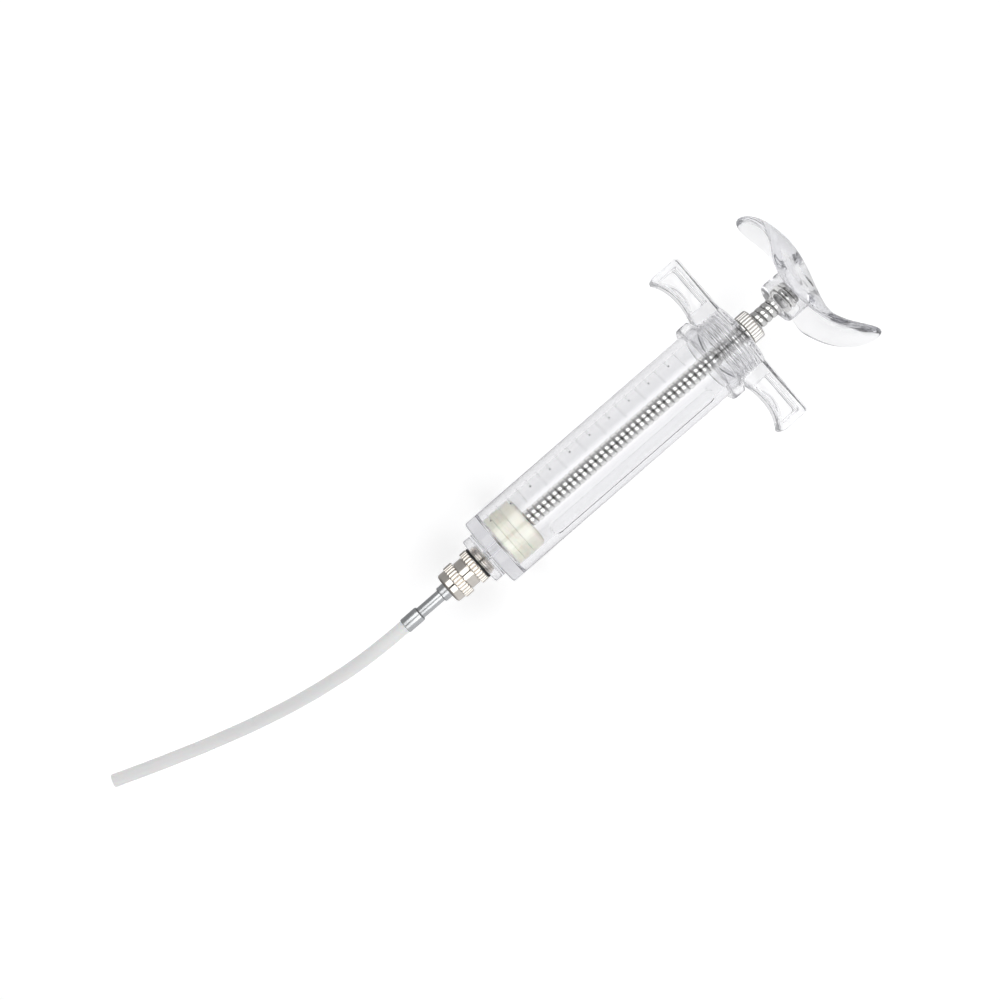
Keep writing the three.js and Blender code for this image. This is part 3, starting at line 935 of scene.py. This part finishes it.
ADAPTOR_SEGMENTS = 12 * KNURL_TEETH
SHANK_R = 4.6
adaptor_profile = refined([np.array(p) for p in rounded([
    (-13.3, 1.1), (-13.3, 3.8, 0.4), (-10.6, 3.8), (-10.6, HEX_R, 0.35), (-7.75, HEX_R, 0.35),
    (-7.75, 4.5, 0.1), (-7.4, 4.5, 0.1), (-7.4, KNURL_R, 0.4), (-5.0, KNURL_R, 0.4),
    (-5.0, SHANK_R), (-1.5, SHANK_R, 0.4), (-1.5, 1.1), (-13.3, 1.1),
])], -5.0, -1.5, 0.12)
adaptor_bands = both(
    knurl(-7.4, -5.0, KNURL_R, KNURL_TEETH, KNURL_DEPTH),
    hexagon(-10.6, -7.75, HEX_R),
)


def adaptor_shape(x, r, angle):
    """The knurl and hexagon outside the barrel, and the threaded shank inside it."""
    if abs(r - SHANK_R) < 1e-3:
        return thread(-4.8, -1.7, SHANK_R, 0.42, 1.0, 0.9)(x, r, angle)
    return adaptor_bands(x, r, angle)


adaptor = lathe("nose_adaptor_plated", adaptor_profile, ADAPTOR_SEGMENTS, adaptor_shape)
piece(adaptor, "nickel_plate", "barrel", "nose_adaptor")

collar_profile = refined([np.array(p) for p in rounded([
    (-16.8, 2.85, 0.2), (-16.8, HEX_R, 0.9), (-13.9, HEX_R, 0.1), (-13.9, KNURL_R, 0.4),
    (-10.8, KNURL_R, 0.4), (-10.8, 4.15, 0.2), (-15.8, 4.15), (-15.8, 2.85), (-16.8, 2.85),
])], -13.9, -10.8, 0.6)
luer_collar = lathe(
    "luer_ring_knurled",
    collar_profile,
    ADAPTOR_SEGMENTS,
    knurl(-13.9, -10.8, KNURL_R, KNURL_TEETH, KNURL_DEPTH),
)
piece(luer_collar, "nickel_plate", "collar", "luer_collar")

luer_seal = lathe("luer_washer_black", rounded([
    (-14.3, 1.1), (-14.3, 3.75, 0.15), (-13.6, 3.75, 0.15), (-13.6, 1.1), (-14.3, 1.1),
]), 64)
piece(luer_seal, "black_rubber", "barrel", "luer_seal")


# ---------- cannula ----------

cannula_hub = lathe("cannula_hub_turned", rounded([
    (-19.5, 1.1), (-19.5, 2.5, 0.35), (-15.5, 2.5), (-15.5, 3.75, 0.15), (-14.6, 3.75, 0.15),
    (-14.6, 1.1), (-19.5, 1.1),
]), 64)
piece(cannula_hub, "stainless_steel", "barrel", "cannula_hub")

cannula_stem = lathe("cannula_stem_turned", rounded([
    (-29.2, 1.1), (-29.2, 1.9, 0.2), (-19.4, 1.9), (-19.4, 1.1), (-29.2, 1.1),
]), 64)
piece(cannula_stem, "stainless_steel", "barrel", "cannula_stem")

ferrule = lathe("ferrule_crimped", rounded([
    (-33.95, 2.18, 0.1), (-33.95, 2.45, 0.15), (-28.0, 2.45, 0.5), (-27.7, 1.95, 0.1),
    (-29.4, 1.95), (-29.4, 2.18), (-33.95, 2.18),
]), 64)
piece(ferrule, "stainless_steel", "barrel", "crimp_ferrule")


# ---------- stage and light ----------

def area_light(name, size_x, size_y, place_at, radiance):
    """A soft panel that faces down, as bright as a surface of the given radiance."""
    data = bpy.data.lights.new(name, "AREA")
    data.shape = "RECTANGLE"
    data.size = size_x
    data.size_y = size_y
    data.energy = radiance * math.pi * size_x * size_y
    lamp = bpy.data.objects.new(name, data)
    bpy.context.scene.collection.objects.link(lamp)
    lamp.location = place_at


FLOOR_SIZE = 6.0
# The floor lies just under the object, and glows a little to stay white.
FLOOR_DROP = 0.0002
FLOOR_GLOW = 0.42
floor_mesh = bpy.data.meshes.new("floor")
half = FLOOR_SIZE / 2
floor_corners = [(-half, -half, 0), (half, -half, 0), (half, half, 0), (-half, half, 0)]
floor_mesh.from_pydata(floor_corners, [], [(0, 1, 2, 3)])
floor = bpy.data.objects.new("floor", floor_mesh)
bpy.context.scene.collection.objects.link(floor)
floor.location.z = -FLOOR_DROP
floor_look = material("floor_white", roughness=0.9, specular_ior_level=0.0)
floor_shader = floor_look.node_tree.nodes["Principled BSDF"]
floor_shader.inputs["Emission Color"].default_value = (1, 1, 1, 1)
floor_shader.inputs["Emission Strength"].default_value = FLOOR_GLOW
tint(floor_look, noise(floor_look, 3), (0.88, 0.88, 0.88), (0.89, 0.89, 0.89))
floor_mesh.materials.append(floor_look)
floor.visible_glossy = False

# Two panels over the table with a gap between them, which the metal shows as a dark line.
PANEL_HEIGHT = 0.72
PANEL_LENGTH = 0.5
GAP_HALF = 0.075
PANEL_WIDTH = 0.7
PANEL_RADIANCE = 1.75
for panel, side in (("panel_far", 1), ("panel_near", -1)):
    middle = (0, side * (GAP_HALF + PANEL_WIDTH / 2), PANEL_HEIGHT)
    area_light(panel, PANEL_LENGTH, PANEL_WIDTH, middle, PANEL_RADIANCE)


def studio_world():
    """Walls of light, brighter on the near side, dim at both ends and dark straight above."""
    world = bpy.data.worlds.new("studio")
    world.use_nodes = True
    nodes = world.node_tree.nodes
    links = world.node_tree.links
    where = nodes.new("ShaderNodeTexCoord")
    split = nodes.new("ShaderNodeSeparateXYZ")
    links.new(where.outputs["Generated"], split.inputs["Vector"])

    def level(axis, start, end, low, high):
        spread = nodes.new("ShaderNodeMapRange")
        spread.inputs["From Min"].default_value = start
        spread.inputs["From Max"].default_value = end
        spread.inputs["To Min"].default_value = low
        spread.inputs["To Max"].default_value = high
        links.new(split.outputs[axis], spread.inputs["Value"])
        return spread.outputs["Result"]

    def times(first, second):
        product = nodes.new("ShaderNodeMath")
        product.operation = "MULTIPLY"
        links.new(first, product.inputs[0])
        links.new(second, product.inputs[1])
        return product.outputs["Value"]

    across = level("Y", -0.9, 0.9, 0.8, 0.38)
    above = level("Z", 0.88, 0.96, 1.0, 0.05)
    front = level("X", -0.7, -0.2, 0.35, 1.0)
    back = level("X", 0.2, 0.7, 1.0, 0.35)
    walls = times(times(across, above), times(front, back))
    links.new(walls, nodes["Background"].inputs["Strength"])
    nodes["Background"].inputs["Color"].default_value = (0.98, 0.985, 1.0, 1)
    return world


bpy.context.scene.world = studio_world()
bpy.context.scene.view_settings.view_transform = "Standard"

# Light takes many turns inside the thick clear pieces before it comes out.
light_paths = bpy.context.scene.cycles
light_paths.max_bounces = 32
light_paths.glossy_bounces = 24
light_paths.transmission_bounces = 32
